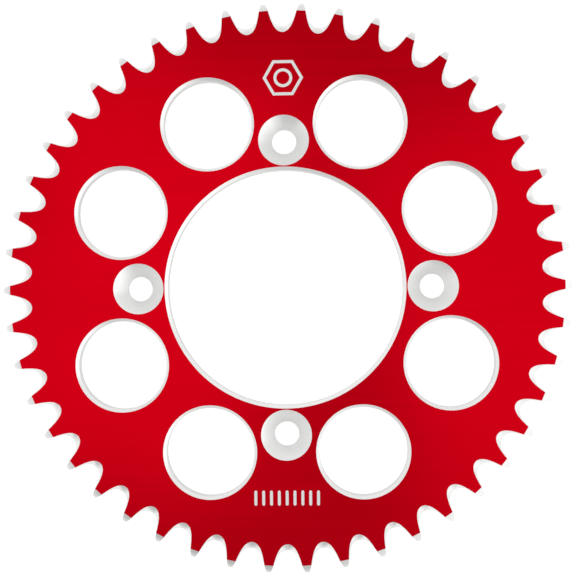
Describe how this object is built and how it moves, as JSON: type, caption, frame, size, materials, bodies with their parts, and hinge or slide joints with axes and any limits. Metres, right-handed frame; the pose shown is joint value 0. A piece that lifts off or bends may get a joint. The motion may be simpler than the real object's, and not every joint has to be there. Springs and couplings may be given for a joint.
{
  "type": "rear chain sprocket",
  "caption": "Flat toothed plate that a roller chain drives, with a large round bore, countersunk bolt holes and round lightening holes.",
  "frame": {"origin": "centre of the bore on the flat back face, the one that bolts against the wheel's hub", "axes": "+Z along the bore axis, from the back face to the countersunk front face; +X through the centre of a bolt hole and of a tooth; +Y through the next bolt hole and the engraved hexagon"},
  "size_m": [0.1938, 0.1934, 0.006],
  "materials": {
    "anodised_plate": "red anodised, finely brushed; teeth, holes and edges cut bare after anodising",
    "bare_cut": "bare satin machined"
  },
  "bodies": {
    "root": {"sprocket": "anodised_plate"}
  },
  "joints": []
}
